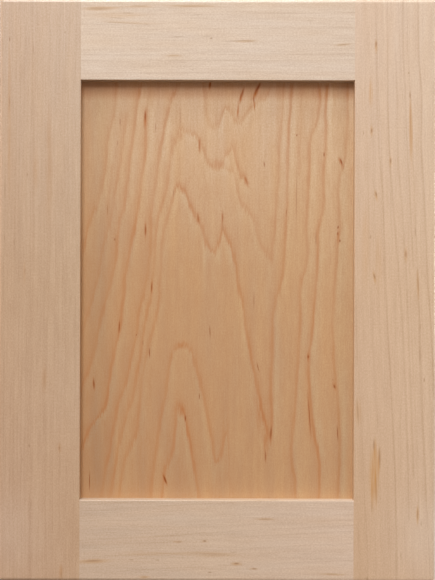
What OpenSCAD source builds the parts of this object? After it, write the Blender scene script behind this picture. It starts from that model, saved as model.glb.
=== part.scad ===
// Kitchen cabinet door: a solid wood frame of two stiles and two rails round a flat panel.
// Millimetres. The door stands on its bottom edge at z = 0, is centred on x = 0, and its
// thickness is centred on y = 0, with the face at -Y and the back at +Y. Left and right are
// as seen from the front, so the left stile is at -X.

/* [Door] */
// Width over both stiles
door_w = 304.8; // [200:0.1:600]
// Height over both rails
door_h = 406.4; // [320:0.1:1200]
// Thickness of the frame
door_t = 19.05; // [18:0.05:26]

/* [Frame] */
// Width of each stile, the full-height side members
stile_w = 57.15; // [52:0.05:90]
// Width of each rail, the cross members between the stiles
rail_w = 57.15; // [30:0.05:120]

/* [Panel] */
// Thickness of the panel
panel_t = 6.2; // [4:0.1:8]
// How far the panel's face lies behind the frame's face
panel_setback = 8; // [6.5:0.1:10]
// Room between the panel and each wall of its groove
panel_play = 0.1; // [0:0.05:0.3]
// Room between the panel's edge and the bottom of its groove
panel_gap = 0.8; // [0.2:0.1:3]

/* [Joints] */
// Depth of the groove that holds the panel and takes the tenons
groove_depth = 9.5; // [6:0.1:12]
// Room between the end of a tenon and the bottom of the groove
tenon_gap = 0.8; // [0.2:0.1:2]
// Room for glue on each cheek of a tenon
glue_space = 0.05; // [0:0.01:0.15]

/* [Edges] */
// Radius of the round-over along the outer edges of the face
front_round = 3.2; // [0.5:0.1:6]
// Radius that eases the outer edges of the back
back_ease = 0.8; // [0.2:0.1:1.5]
// Radius that eases the edges of the face round the opening
sight_ease = 0.4; // [0.1:0.1:1.5]

/* [Hinge boring] */
// Diameter of the hole for a hinge cup
cup_d = 35; // [26:1:40]
// Depth of the cup hole
cup_depth = 12.7; // [10:0.1:14]
// Wood left between the cup hole and the edge of the door
cup_edge = 5; // [3:0.5:8]
// Height of a cup's centre from the nearest end of the door
hinge_from_end = 88.9; // [70:0.1:130]
// Diameter of the cone that the bit's point leaves in the cup's floor
spur_d = 3; // [1:0.5:5]
// Depth of that cone
spur_depth = 1.5; // [0.5:0.1:3]
// Diameter of the holes for the hinge's two dowels
dowel_d = 8; // [3:0.5:10]
// Depth of the dowel holes
dowel_depth = 12; // [8:0.1:14]
// Distance between the two dowel holes of a hinge
dowel_pitch = 45; // [45:0.5:52]
// How far the dowel holes lie past the cup's centre, away from the edge of the door
dowel_offset = 9.5; // [5.5:0.5:12]

/* [Hidden] */
$fn = 96;
// How far a cutting shape runs past the surface that it cuts
cut_over = 2;

// The opening that the frame leaves round the panel
opening_w = door_w - 2 * stile_w;
opening_h = door_h - 2 * rail_w;

// The face plane, and the groove's front wall and width as the panel needs them
face_y = -door_t / 2;
groove_y = face_y + panel_setback - panel_play;
groove_w = panel_t + 2 * panel_play;

// A stub tenon fills the groove less the glue and the room at its end
tenon_y = groove_y + glue_space;
tenon_t = groove_w - 2 * glue_space;
tenon_l = groove_depth - tenon_gap;

// The panel reaches into the grooves on all four sides
panel_reach = groove_depth - panel_gap;

// Maple as it looks under clear finish, the frame paler than the panel
left_stile_colour = [0.78, 0.66, 0.54];
right_stile_colour = [0.82, 0.70, 0.57];
top_rail_colour = [0.86, 0.76, 0.66];
bottom_rail_colour = [0.77, 0.66, 0.56];
panel_colour = [0.75, 0.56, 0.40];

// What is drawn, and its mirror image across the middle of the width
module both_sides() {
    children();
    mirror([1, 0, 0]) children();
}

// What is drawn at the bottom of the door, flipped to the top
module at_the_top() {
    translate([0, 0, door_h]) mirror([0, 0, 1]) children();
}

// What rounding takes off a square corner: the corner is at the origin and the wood lies
// towards +X and +Y
module corner_waste(radius) {
    difference() {
        translate([-cut_over, -cut_over]) square(radius + cut_over);
        translate([radius, radius]) circle(r = radius);
    }
}

// Cross-section of the finished door over one of its spans, with the face at -Y
module door_section(span) {
    difference() {
        square([span, door_t], center = true);
        both_sides() {
            translate([-span / 2, face_y]) corner_waste(front_round);
            translate([-span / 2, -face_y]) mirror([0, 1]) corner_waste(back_ease);
        }
    }
}

// Cross-section of what easing takes off the face on both sides of the opening
module opening_section(span) {
    translate([-span / 2, face_y - cut_over]) square([span, cut_over + sight_ease]);
    both_sides() translate([span / 2, face_y]) corner_waste(sight_ease);
}

// A section run up the height of the door, past both ends by the given amount
module run_up(height, past) {
    translate([0, 0, (door_h - height) / 2 - past]) linear_extrude(height + 2 * past) children();
}

// A section run across the width of the door, past both sides by the given amount
module run_across(width, past) {
    translate([-width / 2 - past, 0, door_h / 2])
        rotate([0, 90, 0]) linear_extrude(width + 2 * past) children();
}

// The outside of the assembled door, whose round-overs meet in mitres at the four corners
module finished_outside() {
    intersection() {
        run_up(door_h, cut_over) door_section(door_w);
        run_across(door_w, cut_over) door_section(door_h);
    }
}

// What easing takes off round the whole opening, mitred in its four corners
module sight_edge_waste() {
    intersection() {
        run_up(opening_h, cut_over) opening_section(opening_w);
        run_across(opening_w, cut_over) opening_section(opening_h);
    }
}

// A stile, drawn on the left: the groove runs down the whole of its inner edge
module stile() {
    difference() {
        intersection() {
            finished_outside();
            translate([-door_w / 2 - cut_over, -door_t, -cut_over])
                cube([stile_w + cut_over, 2 * door_t, door_h + 2 * cut_over]);
        }
        sight_edge_waste();
        translate([-opening_w / 2 - groove_depth, groove_y, -cut_over])
            cube([groove_depth + cut_over, groove_w, door_h + 2 * cut_over]);
    }
}

// A rail, drawn at the bottom: shoulders butt against the stiles, a stub tenon on each end
// goes into the stiles' grooves, and the panel's groove runs along the top edge and through
// the tenons, so that the panel's corners have room
module rail() {
    difference() {
        intersection() {
            finished_outside();
            union() {
                translate([-opening_w / 2, -door_t, -cut_over])
                    cube([opening_w, 2 * door_t, rail_w + cut_over]);
                translate([-opening_w / 2 - tenon_l, tenon_y, -cut_over])
                    cube([opening_w + 2 * tenon_l, tenon_t, rail_w + cut_over]);
            }
        }
        sight_edge_waste();
        translate([-opening_w / 2 - groove_depth, groove_y, rail_w - groove_depth])
            cube([opening_w + 2 * groove_depth, groove_w, groove_depth + cut_over]);
    }
}

// What the hinge-boring bit takes out: the mouth is at the origin and the hole goes to -Z
module cup_waste() {
    rotate_extrude()
        polygon([
            [0, cut_over],
            [cup_d / 2, cut_over],
            [cup_d / 2, -cup_depth],
            [spur_d / 2, -cup_depth],
            [0, -cup_depth - spur_depth]
        ]);
}

// The boring for one concealed hinge, drawn like the cup, with the edge of the door at -X
module hinge_waste() {
    cup_waste();
    for (side = [-1, 1])
        translate([dowel_offset, side * dowel_pitch / 2, -dowel_depth])
            cylinder(d = dowel_d, h = dowel_depth + cut_over);
}

// Both hinges' boring in the back of the left stile
module hinge_boring() {
    for (height = [hinge_from_end, door_h - hinge_from_end])
        translate([-door_w / 2 + cup_edge + cup_d / 2, -face_y, height])
            rotate([-90, 0, 0]) hinge_waste();
}

module left_stile() {
    color(left_stile_colour) difference() {
        stile();
        hinge_boring();
    }
}

module right_stile() {
    color(right_stile_colour) mirror([1, 0, 0]) stile();
}

module top_rail() {
    color(top_rail_colour) at_the_top() rail();
}

module bottom_rail() {
    color(bottom_rail_colour) rail();
}

module centre_panel() {
    color(panel_colour)
        translate([-opening_w / 2 - panel_reach, face_y + panel_setback, rail_w - panel_reach])
            cube([opening_w + 2 * panel_reach, panel_t, opening_h + 2 * panel_reach]);
}

left_stile();
right_stile();
top_rail();
bottom_rail();
centre_panel();
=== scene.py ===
# %% [markdown]
# # A maple cabinet door
# The door is a frame of four maple boards round a flat veneered panel. Its five solids come
# ready made, at their real size, so nothing here changes a shape. This lesson is about the
# wood: how a few smooth fields, read at each point of a board, become its growth lines,
# fibres and mineral flecks, and how light from above shows the recess.

# %% Load the five solids
import math

import bpy
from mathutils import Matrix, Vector


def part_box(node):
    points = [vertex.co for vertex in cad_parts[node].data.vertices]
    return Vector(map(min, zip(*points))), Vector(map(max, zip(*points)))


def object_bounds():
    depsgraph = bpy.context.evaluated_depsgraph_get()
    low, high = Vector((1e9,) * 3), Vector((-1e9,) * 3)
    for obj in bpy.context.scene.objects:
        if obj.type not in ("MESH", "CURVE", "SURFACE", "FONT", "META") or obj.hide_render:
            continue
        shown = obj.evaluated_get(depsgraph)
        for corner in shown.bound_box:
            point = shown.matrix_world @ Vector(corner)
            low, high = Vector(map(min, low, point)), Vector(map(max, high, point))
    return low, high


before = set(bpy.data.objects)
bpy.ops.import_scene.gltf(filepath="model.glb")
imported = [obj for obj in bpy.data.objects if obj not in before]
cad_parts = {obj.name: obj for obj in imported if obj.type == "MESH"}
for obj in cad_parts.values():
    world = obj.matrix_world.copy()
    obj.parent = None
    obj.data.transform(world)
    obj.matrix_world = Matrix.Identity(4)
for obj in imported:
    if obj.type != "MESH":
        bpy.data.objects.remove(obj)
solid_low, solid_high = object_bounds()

print("solids:", sorted(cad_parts))

# %% [markdown]
# ## Places to measure from
# Everything is in metres in the solids' own frame: X runs across the door, Y through its
# thickness with the face at -Y, and Z up. The pattern of the wood is easier to think of in
# millimetres, so the materials work in those. The few places that both need are worked out
# from the solids' boxes, and follow them if the door changes size.

# %% Work out the door's main places
MM = 0.001
door_middle = (solid_low + solid_high) / 2
door_height = solid_high.z - solid_low.z
face_y = solid_low.y
back_y = solid_high.y
panel_low, panel_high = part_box("centre_panel")
stile_inner_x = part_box("right_stile")[0].x
rail_top_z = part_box("bottom_rail")[1].z

half_height = door_height / 2 / MM
half_opening = stile_inner_x / MM
stile_middle = (stile_inner_x + solid_high.x) / 2 / MM

print(f"door {1000 * (solid_high - solid_low).x:.1f} x {1000 * door_height:.1f} mm")

# %% [markdown]
# ## Camera
# The photograph looks straight at the face from about 0.8 m, and the door just overfills the
# frame. The distance decides how much of the opening's inner walls can be seen: at 0.8 m they
# are two pixels wide. The lens then follows from how much of the door's height is in view. The
# picture is turned a sixth of a degree, which the camera repeats.

# %% Place the camera
view_distance = 0.79
height_in_view = 0.4031
aim = Vector((0.0002, 0, door_middle.z + 0.0002))
roll = math.radians(0.18)

camera_data = bpy.data.cameras.new("front_camera")
camera_data.sensor_width = 36
camera_data.lens = camera_data.sensor_width * view_distance / height_in_view
camera = bpy.data.objects.new("front_camera", camera_data)
camera.location = (aim.x, face_y - view_distance, aim.z)
camera.rotation_euler = (math.radians(90), -roll, 0)
bpy.context.scene.collection.objects.link(camera)
bpy.context.scene.camera = camera
bpy.context.scene.view_settings.view_transform = "Standard"

print(f"lens {camera_data.lens:.1f} mm")

# %% [markdown]
# ## Writing shader maths as sums
# A material is a network of small nodes, and a hundred of them wired by hand are hard to
# read. A Wire stands for one output of one node, and Python's own signs are taught to add the
# Math node that they stand for, so `1 - mask * 0.5` is a piece of network. Everything else
# comes from the one method `node`, which takes the kind of node, its settings and what goes
# into its sockets.

# %% Define the Wire and the Recipe
class Wire:
    """One output of a node, which arithmetic extends with Math nodes."""

    def __init__(self, recipe, socket):
        self.recipe = recipe
        self.socket = socket

    def math(self, operation, *values):
        return self.recipe.math(operation, *values)

    def __add__(self, other):
        return self.math("ADD", self, other)

    def __radd__(self, other):
        return self.math("ADD", other, self)

    def __sub__(self, other):
        return self.math("SUBTRACT", self, other)

    def __rsub__(self, other):
        return self.math("SUBTRACT", other, self)

    def __mul__(self, other):
        return self.math("MULTIPLY", self, other)

    def __rmul__(self, other):
        return self.math("MULTIPLY", other, self)

    def __truediv__(self, other):
        return self.math("DIVIDE", self, other)

    def __abs__(self):
        return self.math("ABSOLUTE", self)

    def __neg__(self):
        return self.math("MULTIPLY", self, -1)


class Recipe:
    """A material and the nodes that it is made of."""

    def __init__(self, name):
        self.material = bpy.data.materials.new(name)
        self.material.use_nodes = True
        self.nodes = self.material.node_tree.nodes
        self.links = self.material.node_tree.links
        self.nodes.clear()

    def node(self, kind, settings=None, sockets=None, stops=None, points=None, out=0):
        """Adds a node and returns one of its outputs."""
        node = self.nodes.new(kind)
        for name, value in (settings or {}).items():
            setattr(node, name, value)
        if stops:
            self.fill_ramp(node.color_ramp.elements, stops)
        if points:
            self.fill_curve(node.mapping, points)
        for name, value in (sockets or {}).items():
            if isinstance(value, Wire):
                self.links.new(value.socket, node.inputs[name])
            else:
                node.inputs[name].default_value = value
        return Wire(self, node.outputs[out]) if node.outputs else None

    def fill_ramp(self, elements, stops):
        while len(elements) < len(stops):
            elements.new(1)
        for element, (place, colour) in zip(elements, stops):
            element.position = place
            element.color = colour

    def fill_curve(self, mapping, points):
        mapping.use_clip = False
        mapping.extend = "HORIZONTAL"
        curve = mapping.curves[0]
        while len(curve.points) < len(points):
            curve.points.new(1, 1)
        for point, place in zip(curve.points, points):
            point.location = place
            point.handle_type = "AUTO"
        mapping.update()

    def math(self, operation, *values):
        return self.node(
            "ShaderNodeMath", {"operation": operation}, dict(enumerate(values))
        )

    def mix(self, factor, first, second):
        """A colour between two others, or past the first where the factor is below 0."""
        settings = {"data_type": "RGBA", "clamp_factor": False}
        return self.node(
            "ShaderNodeMix", settings, {0: factor, 6: first, 7: second}, out=2
        )

    def fade(self, value, near, far):
        """1 where the value is at near, 0 at far, smooth in between."""
        settings = {"interpolation_type": "SMOOTHSTEP"}
        sockets = {0: value, 1: near, 2: far, 3: 1.0, 4: 0.0}
        return self.node("ShaderNodeMapRange", settings, sockets)

    def between(self, value, start, end):
        """0 where the value is at start, 1 at end, even in between."""
        return self.node("ShaderNodeMapRange", None, {0: value, 1: start, 2: end})

    def curve(self, value, points):
        """A smooth curve through the points, read at the value."""
        return self.node("ShaderNodeFloatCurve", None, {"Value": value}, points=points)

    def streaks(self, grain, width, length, seed, detail=2.0):
        """Smooth random values about 0, as long and as wide in mm as the numbers say."""
        sizes = {0: grain, 1: (1 / width, 1 / width, 1 / length), 2: (seed, seed, seed)}
        grid = self.node("ShaderNodeVectorMath", {"operation": "MULTIPLY_ADD"}, sizes)
        sockets = {"Vector": grid, "Scale": 1.0, "Detail": detail, "Roughness": 0.5}
        return self.node("ShaderNodeTexNoise", None, sockets) - 0.5

    def vector(self, x, y, z):
        return self.node("ShaderNodeCombineXYZ", None, {0: x, 1: y, 2: z})

    def split(self, coordinates, scale):
        """The three parts of the surface's place or direction in the door's own frame."""
        source = self.node("ShaderNodeTexCoord", out=coordinates)
        sizes = {0: source, "Scale": scale}
        scaled = self.node("ShaderNodeVectorMath", {"operation": "SCALE"}, sizes)
        parts = self.node("ShaderNodeSeparateXYZ", None, {0: scaled}).socket.node
        return [Wire(self, output) for output in parts.outputs]

    def length(self, first, second):
        """The length of a sloping line from its two sides."""
        return self.math("SQRT", first * first + second * second)


def colour(red, green, blue):
    """A colour as seen on a screen, 0 to 255, as the linear light that shaders add up."""
    def linear(level):
        level = level / 255
        return level / 12.92 if level <= 0.04045 else ((level + 0.055) / 1.055) ** 2.4
    return (linear(red), linear(green), linear(blue), 1)


print("Wire and Recipe are ready")

# %% [markdown]
# ## Where a point lies in its board
# A board's pattern follows its grain, so each material first turns its place in the door into
# three lengths in millimetres: across the grain, into the board, and along the grain. It also
# notes how far the surface faces along the grain, which tells where the wood is cut across.

# %% Find a point's place along and across the grain
door_middle_mm = door_middle / MM


class Place:
    """A point of a board, in mm from the door's middle, sorted by the way the grain runs."""

    def __init__(self, recipe, upright):
        self.x, self.y, self.z = recipe.split("Object", 1 / MM)
        self.z = self.z - door_middle_mm.z
        facing_x, facing_y, facing_z = recipe.split("Normal", 1)
        self.deep = self.y
        self.across = self.x if upright else self.z
        self.along = self.z if upright else self.x
        self.end_grain = recipe.fade(abs(facing_z if upright else facing_x), 0.85, 0.35)
        self.spot = recipe.vector(self.x, self.y, self.z)
        self.grain = recipe.vector(self.across, self.deep, self.along)


print("door's middle:", [round(value, 1) for value in door_middle_mm])

# %% [markdown]
# ## Fibres
# Maple has fine, even fibres. Four layers of noise stand for them, three of them stretched
# along the grain: hair-fine streaks, broad bands and a soft mottle, and then the speckle of the
# cut fibre ends. Another, cut off so that only its peaks are left, gives the tiny brown dashes
# that are scattered over any maple board. The tone drifts too, from greyish to orange.

# %% Define the fibres
def fibres(recipe, place, seed, hair_wide, hair_long, speckled):
    """The hair-fine streaks alone, and all the small changes of shade, both about 0."""
    hair = recipe.streaks(place.grain, hair_wide, hair_long, seed, detail=3) * 2
    bands = recipe.streaks(place.grain, 3.0, 110, seed + 7)
    mottle = recipe.streaks(place.grain, 6.0, 14, seed + 13)
    speckle = recipe.streaks(place.grain, 0.8, 1.2, seed + 17)
    return hair, hair * 0.9 + bands * 1.2 + mottle * 0.8 + speckle * speckled


def dashes(recipe, place, seed):
    """The tiny brown dashes: 1 in a dash, 0 between them."""
    specks = recipe.streaks(place.grain, 0.6, 3.5, seed + 29, detail=1)
    return recipe.fade(specks, 0.42, 0.27)


def drift(recipe, place, seed, base, warmer, width, amount):
    """The board's tone, drifting between its own and a warmer one in long patches."""
    patches = recipe.streaks(place.grain, width, width * 7, seed + 41) * amount
    return recipe.mix(patches, base, warmer)


print("fibres and dashes are ready")

# %% [markdown]
# ## Flecks and stains
# The photograph shows mineral flecks and pith flecks in certain places, so each is listed at its
# place, and so are the wider orange stains round them. A fleck is a spindle: the point's place is
# moved to the fleck's middle and divided by its size, so that the fleck's rim lies at length 1.
# That is one multiplication and one addition, but a fleck that leans is turned too.

# %% Define a fleck
fleck_depth = 2.5


def fleck(recipe, place, x, height, length, width, lean, strength, depth):
    """One spindle-shaped fleck of half the given length and width either way from its middle."""
    middle, size = (x, depth, height), (width, fleck_depth, length)
    if lean:
        sockets = {0: place.spot, 1: middle, 2: (0, math.atan(lean), 0), 3: size}
        near = recipe.node("ShaderNodeMapping", {"vector_type": "TEXTURE"}, sockets)
    else:
        grow = tuple(1 / part for part in size)
        shift = tuple(-at / part for at, part in zip(middle, size))
        sockets = {0: place.spot, 1: grow, 2: shift}
        near = recipe.node("ShaderNodeVectorMath", {"operation": "MULTIPLY_ADD"}, sockets)
    away = recipe.node("ShaderNodeVectorMath", {"operation": "LENGTH"}, {0: near}, out="Value")
    return recipe.fade(away, 0.1, 1) * strength


def flecks(recipe, place, spots, depth, start=0):
    """All the flecks of a board, added up to 1 at most."""
    total = start
    for spot in spots:
        total = total + fleck(recipe, place, *spot, depth)
    return recipe.math("MINIMUM", total, 1)


print("flecks are ready")

# %% [markdown]
# ## Growth rings
# The frame's boards are sawn far from the tree's middle, so their rings cross the face as
# near-straight lines. A board is given the place of the tree's middle, and the distance from
# it, divided by the width of a year's growth, counts the rings. Each ring darkens slowly, ends
# in a thin dark line, and has a strength of its own. At the ends of a stile the same field
# shows the rings as arcs, as the end of a real board does.

# %% Define the rings
ring_profile = [(0, 0), (0.3, 0.05), (0.7, 0.25), (0.86, 0.5), (0.93, 1), (0.97, 0.55), (1, 0)]


def rings(recipe, place, heart_across, heart_deep, width, lean, seed):
    """How dark the growth rings make a point."""
    wander = recipe.streaks(place.grain, 22, 130, seed + 3) * 5
    wobble = recipe.streaks(place.grain, 3, 18, seed + 5) * 0.7
    sideways = place.across - heart_across - place.along * lean + wander + wobble
    inward = place.deep - heart_deep
    count = recipe.math("SQRT", sideways * sideways + inward * inward) / width
    year = recipe.math("FLOOR", count)
    random = recipe.node(
        "ShaderNodeTexWhiteNoise", {"noise_dimensions": "1D"}, {"W": year + seed}, out="Value"
    )
    line = recipe.curve(count - year, ring_profile)
    return line * (random * 0.9 + 0.1)


print("rings are ready")

# %% [markdown]
# ## Finish
# Every board ends the same way. Its shade mixes the board's tone with a deeper one, end grain
# drinks more finish and darkens, and flecks go over both. The clear coat is satin: a weak coat
# over duller wood, with fibres that stand up a few hundredths of a millimetre.

# %% Define the finish
def deeper(tone, red, green, blue):
    """The same tone with less of each colour."""
    return (tone[0] * red, tone[1] * green, tone[2] * blue, 1)


def finish_wood(recipe, place, tones, shade, stains, marks, relief, gloss, bare=None):
    """Puts the colours together and lays the clear coat over them."""
    base, deep_tone, stain_tone, fleck_tone = tones
    wood = recipe.mix(shade * 0.5 + place.end_grain * 0.45, base, deep_tone)
    wood = recipe.mix(stains, wood, stain_tone)
    wood = recipe.mix(marks, wood, fleck_tone)
    coat = (1 - place.end_grain * 0.3) * gloss
    dull = relief * 0.05 + place.end_grain * 0.08 + 0.5
    if bare:
        wood = recipe.mix(bare, wood, colour(212, 188, 158))
        coat = coat * (1 - bare)
        dull = dull + bare * 0.25
    raised = recipe.node("ShaderNodeBump", None, {
        "Height": relief, "Strength": 0.5, "Distance": 0.04 * MM,
    })
    shader = recipe.node("ShaderNodeBsdfPrincipled", None, {
        "Base Color": wood, "Roughness": dull, "Specular IOR Level": 0.05,
        "Coat Weight": coat, "Coat Roughness": 0.2, "Normal": raised,
    })
    recipe.node("ShaderNodeOutputMaterial", None, {"Surface": shader})
    return recipe.material


print("the finish is ready")

# %% [markdown]
# ## Lines drawn one by one
# The photograph is of one particular door, so the lines that can be told apart in it are drawn
# one by one. Each is a list of points in millimetres from the door's middle, and a curve node
# makes it smooth. A line that runs up a board is a curve of x by height; an arch, as in the
# panel, is a curve of height by x. The difference between the curve and the point is a
# distance, and a profile turns the distance into a shade. On the steep sides of an arch a
# point far above the line can still be close beside it, so there the difference in height is
# divided by the slope's length, found from two more readings of the curve half a millimetre to
# either side.

# %% Turn lines into shade
sheet_wide, sheet_tall = 320, 420
profile_reach = 8
thin_profile = [
    (0, 0), (0.4, 0.05), (0.46, 0.45), (0.49, 1), (0.51, 1), (0.54, 0.4), (0.58, -0.15),
    (0.75, -0.1), (1, 0),
]


class Sheet:
    """A point's place on the door's face as curves read it, 0 to 1 both ways."""

    def __init__(self, recipe, x, height):
        self.recipe = recipe
        self.sideways = x / sheet_wide + 0.5
        self.upward = height / sheet_tall + 0.5

    def beside(self, distance, profile):
        """The shade at a distance in mm from a line, negative where the wood is pale."""
        return self.recipe.curve(distance / (2 * profile_reach) + 0.5, profile)

    def within(self, value, size, ends):
        """1 between the two ends, 0 outside them."""
        middle, half = (ends[0] + ends[1]) / 2, (ends[1] - ends[0]) / 2
        away = abs((value - 0.5) * size - middle)
        return self.recipe.fade(away, half - 3, half + 3)

    def rising_line(self, strength, points, profile):
        path = sorted((height / sheet_tall + 0.5, x / sheet_wide + 0.5) for x, height in points)
        distance = (self.sideways - self.recipe.curve(self.upward, path)) * sheet_wide
        shade = self.beside(distance, profile) * strength
        heights = sorted(height for x, height in points)
        return shade * self.within(self.upward, sheet_tall, (heights[0], heights[-1]))

    def arch(self, strength, points, profile):
        path = [(x / sheet_wide + 0.5, height / sheet_tall + 0.5) for x, height in points]
        step = 0.5
        left = self.recipe.curve(self.sideways - step / sheet_wide, path)
        right = self.recipe.curve(self.sideways + step / sheet_wide, path)
        slope = (right - left) * (sheet_tall / (2 * step))
        below = (self.recipe.curve(self.sideways, path) - self.upward) * sheet_tall
        distance = below / self.recipe.math("SQRT", slope * slope + 1)
        shade = self.beside(distance, profile) * strength
        ends = (points[0][0] + 1, points[-1][0] - 1)
        return shade * self.within(self.sideways, sheet_wide, ends)


print("lines can be shaded")

# %% [markdown]
# ## The four boards of the frame
# The boards come from different trees, as in the photograph: the top rail is the palest and
# pinkest, the left stile the brownest. Each one's tone also changes a little along or across it.

# %% Define a board of the frame
def board(name, upright, tones, tree, contrast, lines, stains, spots, seed, middle=None):
    """A board whose tone goes from the first to the last of three along its grain.

    One with a middle is paler to the right of it."""
    first_tone, middle_tone, last_tone = tones
    recipe = Recipe(name)
    place = Place(recipe, upright)
    hair, shade = fibres(recipe, place, seed, 0.8, 20, 3.4)
    shade = (shade + rings(recipe, place, *tree, seed) * 0.8) * contrast
    sheet = Sheet(recipe, place.x, place.z)
    for strength, points in lines:
        shade = shade + sheet.rising_line(strength, points, thin_profile)
    stained = flecks(recipe, place, stains, face_y / MM) * (hair * 1.2 + 1)
    marks = flecks(recipe, place, spots, face_y / MM, dashes(recipe, place, seed) * 0.45) * 0.75
    reach = half_height if upright else half_opening
    base = recipe.mix(recipe.between(place.along, -reach, 0), first_tone, middle_tone)
    base = recipe.mix(recipe.between(place.along, 0, reach), base, last_tone)
    base = drift(recipe, place, seed, base, deeper(last_tone, 1.0, 0.93, 0.82), 8, 1.1)
    if middle is not None:
        outer = recipe.between(abs(place.x), 100, 140)
        pinker, warmer = recipe.fade(abs(place.z + 168), 5, 35), recipe.fade(place.z, -130, -60)
        base = recipe.mix(pinker * outer * 0.8, base, deeper(first_tone, 1.05, 1.11, 1.18))
        base = recipe.mix(warmer * (1 - outer) * 0.8, base, deeper(first_tone, 0.97, 0.94, 0.87))
        rightward = recipe.between(place.x - middle, -28, 28)
        tint = recipe.mix(rightward, (0.98, 0.96, 0.95, 1), (1.02, 1.035, 1.045, 1))
        base = recipe.node("ShaderNodeVectorMath", {"operation": "MULTIPLY"}, {0: base, 1: tint})
    dark = {0: base, 1: (0.79, 0.715, 0.65)}
    deep_tone = recipe.node("ShaderNodeVectorMath", {"operation": "MULTIPLY"}, dark)
    tones = base, deep_tone, deeper(first_tone, 0.9, 0.71, 0.45), deeper(first_tone, 0.58, 0.46, 0.34)
    bare = hinge_holes(recipe, place) if name == "left_stile_maple" else None
    return finish_wood(recipe, place, tones, shade, stained, marks, hair, 0.75, bare)


def hinge_holes(recipe, place):
    """1 inside the holes for the hinges, where the wood is bare."""
    cup_radius, cup_from_side, cup_from_end = 17.5, 22.5, 88.9
    dowel_radius, dowel_past_cup, dowel_away = 4, 9.5, 22.5
    cup_x = solid_low.x / MM + cup_from_side
    cup_height = half_height - cup_from_end
    dowel_x = cup_x + dowel_past_cup
    up = abs(place.z) - cup_height
    from_cup = recipe.length(place.x - cup_x, up)
    from_dowel = recipe.length(place.x - dowel_x, abs(up) - dowel_away)
    cup = recipe.fade(from_cup, cup_radius + 0.05, cup_radius + 0.1)
    dowel = recipe.fade(from_dowel, dowel_radius + 0.05, dowel_radius + 0.1)
    inside = recipe.fade(place.y, -4, -5)
    return recipe.math("MAXIMUM", cup, dowel) * inside


# %% Draw what can be told apart on the stiles
left_lines = [
    (0.4, [(-128.7, 215), (-128.6, 160), (-127.6, 60), (-128.5, -30), (-129.5, -110), (-129, -215)]),
    (0.3, [(-140.8, 215), (-140.5, 100), (-141, 30), (-141.7, -60), (-141, -215)]),
    (0.3, [(-117, 215), (-116.5, 130), (-116, 60), (-117, 0), (-119.3, -60), (-118, -215)]),
]
right_lines = [
    (1.0, [
        (139.5, 215), (139.7, 160), (141.4, 140), (141.6, 100), (143.3, 70), (144.8, 40),
        (146.4, 5), (148.6, -25), (151, -75),
    ]),
    (0.7, [(128.8, 215), (128.9, 165), (130.2, 140), (131.5, 105), (134, 60), (136.2, 15)]),
    (0.7, [(117.5, 215), (118.2, 140), (119.2, 100), (122, 60), (127.5, -5), (131, -70), (134, -160)]),
    (0.6, [(123.4, 165), (124.4, 140), (125.3, 95), (128, 60), (131.5, 5), (135, -80), (137, -130)]),
    (0.6, [(110.4, 215), (112, 100), (115, 65), (116.3, 10), (118.5, -25), (124, -130), (125, -215)]),
    (0.3, [(102, 215), (103, 120), (105, 60), (107, 0), (110, -60), (112, -95)]),
    (0.6, [(139, 16), (140.2, -10), (141, -45), (142.3, -80), (144.4, -120), (147, -165)]),
]
left_spots = [
    (-144.8, 174, 2.6, 0.7, 0, 0.9), (-144.6, 131, 5, 0.5, 0, 0.7), 
    (-147.8, 70, 12, 0.6, 0, 0.6), (-128.4, 167, 6, 0.5, 0, 0.5), (-132.2, 80, 2, 0.7, 0, 0.7),
    (-106.3, 179, 1.2, 0.7, 0, 0.5), (-141.2, 33, 3.5, 0.5, 0, 0.6), (-148, 36, 4, 0.6, 0, 0.6),
    (-133.6, 13, 4, 0.5, 0, 0.6), (-130.3, -108.5, 2, 0.7, 0, 0.8), (-109.3, -110, 2.2, 0.7, 0, 0.8),
    (-135, -118, 2, 0.5, 0, 0.5), (-129, -149, 5, 0.5, 0, 0.5), (-120, -62, 8, 1.2, 0, 0.3),
    (-107.8, -198, 3, 0.6, 0, 0.6),
]
left_stains = [
    (-144.9, 125, 90, 1.6, 0, 0.35), (-117, 90, 60, 3.5, 0, 0.25), (-126.5, 85, 22, 3, 0, 0.25),
    (-120, -62, 14, 2.5, 0, 0.35), (-109.3, -110, 5, 1.6, 0, 0.5), (-108, -196, 8, 1.8, 0, 0.6),
    (-134, 12, 12, 1.4, 0, 0.3),
]
right_spots = [
    (109.9, 171.5, 2.8, 0.9, 0, 1.0), (132.6, 151.4, 1.2, 0.8, 0, 0.8), (133.6, 136, 4, 0.8, 0, 0.9),
    (134, 118, 22, 0.6, -0.02, 0.4),
    (107, 111.3, 2.2, 0.9, 0, 1.1), (101.3, 109.5, 2, 0.6, 0, 0.6), (120.3, 90.3, 2.6, 0.8, 0, 1.0),
    (110.3, 67.2, 2.6, 0.9, -0.2, 1.0), (106.4, 37.5, 2, 0.9, 0, 0.6), (137.5, 41, 5, 0.7, 0, 0.6),
    (131, 25.5, 3.4, 1.0, 0, 0.8), (109.2, 10, 2.8, 0.9, -0.3, 1.0), (139.6, 5, 10, 0.7, -0.05, 0.6),
    (141.2, -25, 3, 0.6, 0, 0.6), (141, -45, 9, 0.6, 0, 0.5), (144.1, -62, 2.4, 0.8, 0.1, 0.8),
    (97.9, -84, 15, 0.9, -0.06, 0.6), (109.2, -107, 6, 1.0, 0, 0.8), (113.2, -116, 10, 1.0, -0.03, 0.9),
    (110.9, -138, 14, 0.9, 0, 0.4), (107.8, -150, 6, 1.0, 0, 0.3),
    (139.7, -155, 6, 0.8, 0, 0.7), (142.2, -162, 2.4, 0.7, 0, 0.6), (128.2, -184, 4, 0.6, 0, 0.4),
    (104.8, -201, 4, 0.7, 0, 0.7),
]
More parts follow.
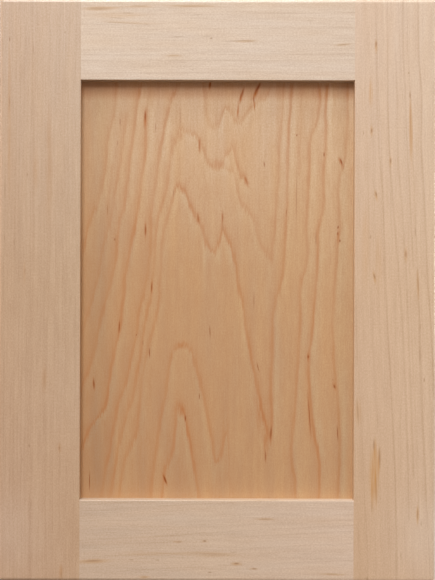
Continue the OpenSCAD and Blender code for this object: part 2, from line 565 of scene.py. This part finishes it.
right_stains = [
    (134.2, 112, 34, 1.8, -0.02, 0.75), (106.3, 137, 14, 2.2, 0, 0.5), (109.9, 170, 7, 1.6, 0, 0.5),
    (110.2, -111, 12, 1.6, 0, 0.7), (112.8, -118, 14, 1.6, 0, 0.75), (109.4, -129, 27, 4.6, 0, 0.85),
    (111, -138, 20, 1.2, 0, 0.4),
    (108.2, -138, 24, 1.8, 0, 0.4), (98, -84, 14, 3.5, 0, 0.35), (110.3, 66, 6, 1.6, -0.2, 0.6),
    (131, 25, 8, 1.6, 0, 0.6), (109.2, 9.5, 7, 1.5, -0.2, 0.6), (139.6, 4, 14, 1.4, -0.05, 0.6),
    (139.7, -156, 10, 1.8, 0, 0.6), (107, 111, 6, 1.6, 0, 0.5), (120.3, 90, 6, 1.5, 0, 0.4),
    (103, 30, 40, 4, 0, 0.25), (112, 20, 30, 4, 0, 0.2),
]
print(len(left_spots) + len(right_spots), "flecks on the stiles")

# %% Draw what can be told apart on the rails
top_spots = [
    (-83, 195.5, 1.6, 13, 0, 0.6), (-55, 197.3, 0.9, 9, 0, 0.5), (-18, 197.4, 1.1, 24, 0, 0.55),
    (-63, 192.5, 0.6, 6, 0.02, 0.7), (-66, 185.7, 0.5, 24, 0.04, 0.5), (-70, 189, 0.5, 9, 0.1, 0.5),
    (-50, 184.4, 0.5, 4, 0, 0.4), (-40, 194.6, 0.6, 2, 0, 0.5), (-14, 191.6, 0.5, 6, 0, 0.5),
    (40, 192.6, 0.8, 45, 0, 0.3), (64, 187.6, 0.7, 5, 0, 0.4), (-28, 176.1, 0.5, 7, -0.03, 0.7),
    (-4.7, 175.2, 0.8, 1.4, 0, 1.2), (-8, 176.5, 0.6, 5, 0, 0.4), (15, 173.4, 0.6, 16, -0.03, 0.8),
    (22, 172.9, 0.7, 6, -0.03, 0.6), (87, 171, 0.7, 8, -0.07, 0.8), (-31, 163, 0.6, 8, 0, 0.5),
    (-25, 158.4, 0.5, 4, 0, 0.4), (-18, 153.3, 0.5, 2, 0, 0.4), (-58, 153.2, 0.5, 4, 0, 0.3),
    (-4, 153, 0.5, 4, 0, 0.4),
]
top_stains = [
    (-82, 195.6, 2.6, 22, 0, 0.5), (-55, 197, 1.8, 16, 0, 0.4), (-18, 197.4, 1.8, 30, 0, 0.45),
    (-70, 191, 3.5, 30, 0, 0.3), (-62, 186, 1.8, 30, 0.04, 0.3), (20, 173.2, 1.4, 12, -0.03, 0.5),
    (87, 171, 1.6, 9, -0.07, 0.4), (-31, 163, 1.6, 10, 0, 0.3), (0, 204, 14, 190, 0, 0.14),
]
bottom_spots = [
    (-8.2, -174.3, 0.9, 1.5, 0, 1.2), (-26, -175, 0.6, 2.8, 0, 0.7), (-28, -169, 0.5, 2, 0, 0.4),
    (34, -159, 0.7, 8, 0, 0.6), (-86, -188.3, 0.8, 9, -0.05, 0.8), (-59, -187.5, 0.6, 2.4, 0, 0.7),
    (-41, -187.6, 0.6, 2.4, 0, 0.7), (14, -189.8, 0.8, 2.2, 0, 1.2), (26.5, -193.5, 0.7, 2.6, 0.05, 0.9),
    (-4.5, -196, 0.7, 2.2, 0, 0.9), (-5, -183.5, 1.4, 20, 0.02, 0.3), (12, -182, 0.6, 4, 0, 0.5),
    (-50, -199.5, 0.6, 3, 0, 0.5), (80, -197, 0.6, 7, 0, 0.4),
]
bottom_stains = [
    (-86, -188.6, 2.4, 18, -0.05, 0.6), (-8.2, -174.5, 1.6, 4, 0, 0.5), (-27, -175, 1.4, 5, 0, 0.4),
    (34, -159, 1.6, 12, 0, 0.4), (14, -190, 1.8, 6, 0, 0.6), (-5, -183.3, 3.2, 30, 0.02, 0.35),
    (-45, -183, 2.6, 34, 0, 0.3), (-50, -199.5, 1.4, 6, 0, 0.7), (80, -197.2, 1.6, 14, 0.03, 0.4),
    (26, -193.5, 1.4, 6, 0.05, 0.4),
]
print(len(top_spots) + len(bottom_spots), "flecks on the rails")

# %% Make the frame's woods
frame_materials = {
    "left_stile": board(
        "left_stile_maple", True,
        (colour(189, 165, 141), colour(185, 162, 135), colour(194, 176, 156)),
        (-260, 60, 2.2, 0.004), 1.02, left_lines, left_stains, left_spots, 11, -stile_middle,
    ),
    "right_stile": board(
        "right_stile_maple", True,
        (colour(203, 182, 158), colour(202, 180, 153), colour(207, 191, 172)),
        (-40, -60, 5.2, -0.045), 0.91, right_lines, right_stains, right_spots, 23, stile_middle,
    ),
    "top_rail": board(
        "top_rail_maple", False,
        (colour(205, 193, 177), colour(206, 194, 178), colour(207, 195, 179)),
        (40, -150, 2.6, 0.0), 1.12, [], top_stains, top_spots, 37,
    ),
    "bottom_rail": board(
        "bottom_rail_maple", False,
        (colour(195, 178, 158), colour(201, 185, 165), colour(207, 191, 173)),
        (-330, 90, 3.4, 0.05), 1.05, [], bottom_stains, bottom_spots, 53,
    ),
}
print("frame woods:", sorted(frame_materials))

# %% [markdown]
# ## The panel's figure
# The panel's veneer is cut flat through the log, which gives the tall arches in its middle and
# the lines that lean in beside them. Crossing a line from one side, the wood slowly darkens, is
# darkest on the line, turns pale behind it and then comes back to its tone.

# %% Draw the lines that run up the panel
rising_lines = [
    (0.7, [(-71, 145), (-72.6, 126), (-77.7, 103), (-80, 78), (-84.2, 61), (-90, 46), (-95, 25)]),
    (0.35, [(-74, 90), (-75, 76), (-77, 58), (-78, 48)]),
    (0.6, [(-64, 125), (-67.1, 100), (-70, 80), (-75.5, 48), (-79.7, 33), (-84.4, 7), (-95, -30)]),
    (0.95, [
        (-54, 145), (-57.6, 125), (-60.6, 100), (-65.6, 60), (-69.5, 44), (-71.2, 23), (-74.7, 6),
        (-78.7, -8), (-84.7, -34), (-88.7, -51), (-95, -70),
    ]),
    (1.1, [
        (-50.8, 128), (-50.6, 107), (-53.1, 80), (-57.4, 48), (-63.1, 19), (-66.1, -8),
        (-68.6, -29), (-72, -42), (-75.7, -65), (-78.7, -82), (-81.2, -88), (-88.2, -95),
        (-91, -102), (-95, -112),
    ]),
    (0.85, [
        (-29, 142), (-35, 125), (-39.1, 105), (-43.1, 78), (-46.1, 57), (-47.6, 24), (-51.6, -4),
        (-55.6, -19), (-56.1, -27), (-59.1, -43), (-63.6, -63), (-68.6, -77), (-72.1, -93),
        (-75.5, -114), (-79.7, -136), (-81, -146),
    ]),
    (0.9, [
        (-29.8, 107), (-34, 89), (-36, 71), (-42.1, 49), (-44.6, 16), (-46.6, -5), (-51.1, -27),
        (-56.6, -63), (-61.1, -81), (-67.1, -101), (-70.6, -119), (-75, -146),
    ]),
    (0.7, [
        (-31, 66), (-34.9, 53), (-38.6, 31), (-39.9, 11), (-41.1, -9), (-46.6, -34), (-52.1, -60),
        (-55.1, -88), (-57, -103), (-61.6, -112), (-65.2, -123), (-68.8, -146),
    ]),
    (0.8, [
        (-31.6, -45), (-34, -57), (-37, -77), (-40.6, -100), (-43.6, -120), (-46.6, -146),
    ]),
    (0.9, [(-28.4, -80), (-30.5, -108), (-32, -117), (-36, -124), (-37.1, -132), (-38.6, -148)]),
    (0.65, [(37.9, 21), (39.9, 40), (42.4, 77), (43.2, 92), (42.9, 101), (44.9, 123), (46.5, 145)]),
    (1.0, [
        (37.9, -106), (38.7, -94), (37.9, -68), (38.4, -50), (40.9, -7), (44.6, 5), (47.4, 34),
        (48.9, 72), (49.4, 100), (52, 145),
    ]),
    (0.35, [(59, 145), (58.5, 120), (57.5, 100), (57.6, 80)]),
    (0.85, [
        (71, 145), (70, 120), (66, 110), (64.5, 100), (64, 75), (62.6, 50), (62.7, 19), (58.5, 4),
        (58.4, -21), (56.8, -50), (55, -78), (52.6, -116), (55, -134), (55.2, -146),
    ]),
    (1.2, [
        (77, 145), (75.5, 127), (76, 105), (74.2, 77), (74.4, 60), (70.5, 41), (70.2, 19),
        (66.5, -29), (64.5, -50), (65.2, -73), (68, -96), (72, -124), (71.5, -146),
    ]),
    (0.8, [
        (91, 145), (91, 123), (89.8, 95), (85.5, 78), (85.8, 47), (82, 0), (82, -50), (85, -78),
        (86, -120), (85, -146),
    ]),
]
print(len(rising_lines), "lines run up the panel")

# %% Draw the arches
arches = [
    (0.75, [
        (-11, 146), (-8, 125.6), (-6, 117.5), (-3, 114.5), (0.8, 119.5), (5.8, 128), (9.3, 124.6),
        (12.9, 119), (15.9, 118), (19.9, 123.6), (27.9, 131.6), (33, 135), (38, 144),
    ]),
    (0.85, [
        (-30.5, 104), (-29, 109), (-26.5, 112.3), (-22, 111.5), (-16, 107.5), (-12, 103), (-9, 97),
        (-7, 91), (-4, 87.2), (0, 86.2), (2.8, 87.4), (4.8, 92.4), (7.3, 97.5), (9.8, 100.5),
        (12.3, 94.4), (14.3, 87.4), (16.8, 81.4), (19.3, 78), (22, 70),
    ]),
    (0.65, [
        (1, 85), (6, 85.5), (10.8, 83.4), (13.3, 75.4), (14.3, 68.4), (16.8, 62.3), (20.8, 57.3),
        (24.9, 51.3), (28.9, 38.3), (31.4, 31.3), (34.9, 26.2), (38, 20),
    ]),
    (1.1, [
        (-31.5, 63), (-30.3, 69), (-27, 73.8), (-23.3, 70.5), (-19.1, 61.7), (-14.9, 50),
        (-10.3, 44.2), (-7.9, 33.6), (-3.3, 28), (-0.2, 31.3), (2.3, 38), (3.8, 43.5), (6.3, 38.3),
        (8.8, 33.3), (12.8, 19.3), (14.8, 3.2), (17.4, -6.8), (20.9, -27), (24, -46),
        (27.9, -66.6), (30.4, -75.6), (31.9, -85.6), (33.9, -91.7), (38.2, -107.7),
    ]),
    (0.9, [
        (-32.2, -49), (-31, -42.3), (-28, -39.5), (-22, -38.5), (-19.5, -41), (-15.9, -48.5),
        (-12.9, -59.5), (-8.9, -76.6), (-4.9, -98.7), (-2.9, -108.7), (0.1, -118.5), (3.7, -112),
        (6.9, -99.3), (8.3, -110), (9, -133), (9.4, -150),
    ]),
    (1.25, [
        (-29, -85), (-28, -78.6), (-26, -81.6), (-23, -87.6), (-20, -100.7), (-16.5, -119.7),
        (-12.9, -139.8), (-12, -150),
    ]),
]
print(len(arches), "arches")

# %% [markdown]
# The veneer on the back is the next leaf of the same log, turned upside down, so the back reads
# the same lines with its height reversed. Fine noise makes the lines less smooth: it shifts
# them sideways by some tenths of a millimetre, and frays the arches along the grain.

# %% Make the panel's wood
panel_profile = [
    (0, 0), (0.15, 0.05), (0.28, 0.16), (0.38, 0.36), (0.44, 0.62), (0.48, 1.05), (0.515, 1.05),
    (0.56, 0.4), (0.6, -0.05), (0.68, -0.38), (0.8, -0.24), (0.92, -0.05), (1, 0),
]
panel_spots = [
    (-68.5, 118, 4, 0.6, 0, 0.5), (-50.9, 122, 5, 0.9, 0, 0.8), (-43.6, 114, 5, 0.5, 0, 0.5),
    (-26.3, 121, 9, 0.5, 0, 0.35), (-12.7, 101.5, 6, 0.8, 0, 0.4), (-31, 68, 4.5, 0.7, 0, 0.4),
    (-13.5, 50.5, 5, 0.9, -0.1, 0.5), (-77.2, 56, 5, 0.5, 0, 0.5), (-70.3, 103, 3, 0.5, 0, 0.4),
    (-72, 35.5, 1.6, 0.7, 0, 0.7), (-50.5, 42, 6, 0.9, 0, 0.8), (-46, 2, 5, 0.6, 0.05, 0.9),
    (-68.7, -26, 6, 0.6, 0.05, 0.9), (-56.6, -31.5, 1, 0.6, 0, 0.7), (-52, -37, 2.5, 0.5, 0, 0.5),
    (-47.4, -44, 5, 0.6, 0, 0.9), (-5, -29, 6, 0.6, -0.05, 0.8),
    (3.6, 51, 6, 0.7, 0, 0.5), (3.8, 44, 4, 1.0, 0, 0.3), (25.8, -7, 8, 0.5, 0, 0.6),
    (64, -46.5, 1.8, 0.8, 0, 1.0), (84.7, 44.5, 1.8, 0.8, 0.2, 1.0), (84.5, 40, 2, 0.8, 0, 0.8),
    (86, 35, 1.6, 0.9, 0, 0.9), (69.2, 36, 7, 0.5, 0, 0.6), (-86.4, -66, 5, 0.8, -0.05, 1.0),
    (-89.2, -134, 10, 0.6, 0, 0.9), (-36.2, -133, 4.5, 0.9, -0.38, 1.3),
    (-12.3, -74.5, 3, 0.6, 0, 0.8), (-22, -90, 3.2, 0.7, 0, 1.0), (28.8, -54, 5, 0.5, -0.25, 0.8),
    (82.5, -67.3, 2.2, 1.0, -0.3, 0.9), (81.4, -62.5, 1.2, 0.5, 0, 0.6),
    (84.8, -100, 8, 0.6, -0.06, 0.8), (34.2, -116.5, 6, 0.8, 0, 0.7), (38, -100, 7, 1.1, 0.08, 0.8),
    (65, -88, 20, 0.6, -0.08, 0.6), (17.0, 138, 6.5, 1.0, 0.37, 0.8), (-5.5, 144.2, 3, 0.9, 0.1, 0.8),
    (27.8, 141.6, 6.5, 1.2, 0.5, 1.0), (25.2, 134, 3.5, 0.8, -0.1, 0.6), (55.5, 109, 1.2, 0.8, 0, 0.8),
    (55.5, 66, 26, 0.4, 0.01, 0.5), (74.7, 95.5, 2.5, 0.7, 0, 0.9),
    (86.8, 90.5, 3.5, 0.8, -0.35, 1.1), (32.8, 88.5, 3, 0.7, -0.1, 0.7),
    (20.2, 77, 4, 0.8, -0.3, 0.4), (48.5, 55, 4, 0.6, 0, 0.5),
]

panel_stains = [
    (16.4, 136, 10, 1.8, 0.3, 0.8), (14.2, 126, 8, 1.0, 0.1, 0.8), (27, 139.5, 9, 2.2, 0.45, 0.9),
    (25.6, 130, 6, 1.0, -0.05, 0.7), (-5.6, 144, 5, 1.4, 0.1, 0.7), (-51, 120, 9, 1.5, 0, 0.8),
    (-50.5, 42, 10, 1.2, 0, 0.5), (-46, 2, 8, 1.2, 0.05, 0.6), (-68.7, -26, 9, 1.3, 0.05, 0.6),
    (-86.4, -66, 7, 1.5, -0.05, 0.6), (-36.2, -133, 7, 1.5, -0.38, 0.7), (-12.7, 101.5, 8, 1.4, 0, 0.7),
    (86.6, 90, 6, 1.8, -0.35, 0.7), (82.6, -67, 5, 2, -0.2, 0.6), (64, -46.5, 5, 1.4, 0, 0.6),
    (30, -88, 24, 5, -0.2, 0.35), (34.5, -108, 16, 3, 0.02, 0.4), (20.2, 77, 6, 1.6, -0.3, 0.7),
    (84.8, 38, 9, 1.5, 0.1, 0.5), (65, -88, 24, 1.6, -0.06, 0.5), (-26, 72, 5, 2.4, 0, 0.3), (-13.5, 50.5, 6, 1.8, -0.1, 0.6), (3.6, 50, 8, 1.4, 0, 0.6),
    (-26, 108, 5, 3, 0, 0.25), (-0.5, 88.5, 6, 5, 0, 0.3), (-25, -39, 4, 6, 0, 0.4), (-25, -84, 8, 4, 0, 0.45),
]


def panel_wood():
    recipe = Recipe("panel_maple")
    place = Place(recipe, True)
    on_back = recipe.fade(place.y, 1.6, 1.5)
    height = place.z * (1 - on_back * 2)
    hair, fibre_shade = fibres(recipe, place, 71, 0.7, 9, 2.8)
    fray = recipe.streaks(place.grain, 0.9, 40, 83) * 15
    sway = recipe.streaks(place.grain, 9, 16, 89) * 2.2
    sheet = Sheet(recipe, place.x + sway, height + fray)
    figure = fibre_shade * 0.1
    for strength, points in rising_lines:
        figure = figure + sheet.rising_line(strength, points, panel_profile)
    for strength, points in arches:
        figure = figure + sheet.arch(strength, points, panel_profile)
    strong = recipe.streaks(place.grain, 14, 30, 97) * 1.4 + 0.78
    strong = strong + recipe.between(height, 0, -100) * 0.2
    # Painted shade: the panel darkens towards orange in its corners beside the left stile and, less, beside
    # the right one, where the stiles shade it.
    painted_edge_shade = recipe.fade(place.x, -95, -84) * 0.35 + recipe.fade(place.x, 96, 86) * 0.2
    # Painted shade: on the front, a warm dark band runs across the panel just below the top rail, in the soft
    # edge of the rail's shadow.
    painted_edge_shade = painted_edge_shade + recipe.fade(abs(height - 139.5), 1, 8) * 0.75 * (1 - on_back)
    # The mix towards the orange tone carries both the growth lines and the painted shade.
    orange = (figure * strong + painted_edge_shade) * 0.5
    stained = flecks(recipe, place, panel_stains, panel_low.y / MM) * (hair * 1.2 + 1)
    start = dashes(recipe, place, 71) * 0.35
    marks = flecks(recipe, place, panel_spots, panel_low.y / MM, start)
    left_tone, right_tone = colour(185, 151, 114), colour(198, 169, 132)
    base = recipe.mix(recipe.between(place.x, -95, 95), left_tone, right_tone)
    # Painted shade: the panel grows darker and warmer towards its bottom, standing in for light that falls off
    # lower down.
    painted_shade_low_tone = deeper(left_tone, 0.86, 0.78, 0.72)
    base = recipe.mix(recipe.between(height, 150, -150) * 0.5, base, painted_shade_low_tone)
    # Painted light: the top of the panel under the top rail is painted paler, less so by its sides and most at
    # its top right.
    pale = recipe.fade(height, 150, -5) * (recipe.fade(abs(place.x), 95, 10) * -0.45 + 1)
    pale = pale + recipe.fade(height, 150, 70) * recipe.fade(place.x, 95, 10) * 0.4
    base = recipe.mix(pale, base, colour(201, 176, 146))
    base = drift(recipe, place, 71, base, deeper(right_tone, 1.0, 0.9, 0.74), 11, 1.2)
    base = recipe.mix(orange, base, deeper(left_tone, 0.91, 0.63, 0.43))
    deep_tone, stain_tone = deeper(left_tone, 0.84, 0.66, 0.54), deeper(left_tone, 0.88, 0.54, 0.3)
    tones = base, deep_tone, stain_tone, deeper(left_tone, 0.57, 0.27, 0.13)
    return finish_wood(recipe, place, tones, fibre_shade * 0.68, stained, marks, hair, 0.3)


panel_material = panel_wood()
print("panel wood:", len(panel_material.node_tree.nodes), "nodes")

# %% [markdown]
# ## Put the woods on the solids
# Only the material slots change. The meshes stay as they were handed over.

# %% Fill the material slots
for name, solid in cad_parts.items():
    solid.data.materials.clear()
    solid.data.materials.append(frame_materials.get(name, panel_material))

# %% [markdown]
# ## Floor and backdrop
# The door stands on a pale floor. A pale floor also throws light back, and from below it
# would wash out the shadow under the top rail, so to the light that bounces it is made a
# duller grey than it looks.

# %% Lay the floor
def seen_directly(recipe):
    """1 for what the camera, a reflection or a view through glass shows, 0 for bounced light."""
    path = recipe.node("ShaderNodeLightPath", out="Is Camera Ray")
    glossy = Wire(recipe, path.socket.node.outputs["Is Glossy Ray"])
    through = Wire(recipe, path.socket.node.outputs["Is Transmission Ray"])
    return recipe.math("MAXIMUM", recipe.math("MAXIMUM", path, glossy), through)


def floor_paint():
    """Pale round the door and white farther off, but a dull grey to bounced light."""
    recipe = Recipe("floor_paint")
    place = recipe.node("ShaderNodeTexCoord", out="Object")
    away = recipe.node("ShaderNodeVectorMath", {"operation": "LENGTH"}, {0: place}, out="Value")
    paint = recipe.node("ShaderNodeBsdfDiffuse", None, {"Color": colour(112, 111, 109)})
    glow = recipe.node("ShaderNodeEmission", None, {"Color": (1, 1, 1, 1), "Strength": 0.62})
    white = recipe.node("ShaderNodeEmission", None, {"Color": (1, 1, 1, 1), "Strength": 1.0})
    dull = recipe.node("ShaderNodeBsdfDiffuse", None, {"Color": colour(96, 74, 58)})
    near = recipe.node("ShaderNodeAddShader", None, {0: paint, 1: glow})
    pale = recipe.node("ShaderNodeMixShader", None, {0: recipe.fade(away, 1.8, 0.5), 1: near, 2: white})
    both = recipe.node("ShaderNodeMixShader", None, {0: seen_directly(recipe), 1: dull, 2: pale})
    recipe.node("ShaderNodeOutputMaterial", None, {"Surface": both})
    return recipe.material


floor_size = 12
bpy.ops.mesh.primitive_plane_add(size=floor_size, location=(0, 0, solid_low.z))
floor = bpy.context.object
floor.name = "floor"
floor.data.materials.append(floor_paint())

# %% [markdown]
# ## Light
# The shadow under the top rail tells where the light is: it is deepest at the rail, half
# gone 5.6 mm below it and over after 14 mm, and the recess is 8 mm deep. So the middle of the
# lamp stands about 42 degrees above the door's face, and the lamp is wide enough to fill some
# 28 degrees. The left wall of the opening is dark and the right one bright, so the lamp is a
# little to the left.

# %% Hang the lamps
def lamp(name, azimuth, elevation, distance, width, height, level, tone=(1, 1, 1)):
    """A rectangular lamp that looks at the door's middle. At level 1 a white card there, turned
    to the lamp, is lit just to white."""
    turn, tilt = math.radians(azimuth), math.radians(elevation)
    way = Vector((math.sin(turn) * math.cos(tilt), -math.cos(turn) * math.cos(tilt), math.sin(tilt)))
    data = bpy.data.lights.new(name, "AREA")
    data.shape = "RECTANGLE"
    data.size = width
    data.size_y = height
    data.color = tone
    data.energy = level * math.pi**2 * distance**2
    lamp_object = bpy.data.objects.new(name, data)
    lamp_object.location = door_middle + way * distance
    lamp_object.rotation_euler = (-way).to_track_quat("-Z", "Y").to_euler()
    bpy.context.scene.collection.objects.link(lamp_object)


warm = (1, 0.62, 0.4)
lamp("window", -6, 42, 3.2, 1.1, 2.15, 0.88)
lamp("left_side", -70, 9, 3.0, 1.0, 1.2, 0.3, warm)
lamp("right_side", 55, 9, 3.0, 1.0, 1.2, 0.17, warm)
lamp("right_edge", 101, 9, 3.0, 1.0, 1.2, 0.42)
lamp("overhead", 0, 76, 3.0, 1.4, 0.8, 0.42)
lamp("back_right", 145, 9, 3.0, 1.4, 1.2, 0.52)
lamp("back_left", -145, 9, 3.0, 1.4, 1.2, 0.52)

world = bpy.data.worlds.new("room")
world.use_nodes = True
bpy.context.scene.world = world
world_nodes = world.node_tree.nodes
world_nodes.clear()


class RoomRecipe(Recipe):
    """The same tool for the room's own light."""

    def __init__(self, tree):
        self.nodes = tree.nodes
        self.links = tree.links


room = RoomRecipe(world.node_tree)
seen = seen_directly(room)
tint = room.mix(seen, (*warm, 1), (1, 1, 1, 1))
brightness = seen * (1 - 0.19) + 0.19
sky = room.node("ShaderNodeBackground", None, {"Color": tint, "Strength": brightness})
room.node("ShaderNodeOutputWorld", None, {"Surface": sky})
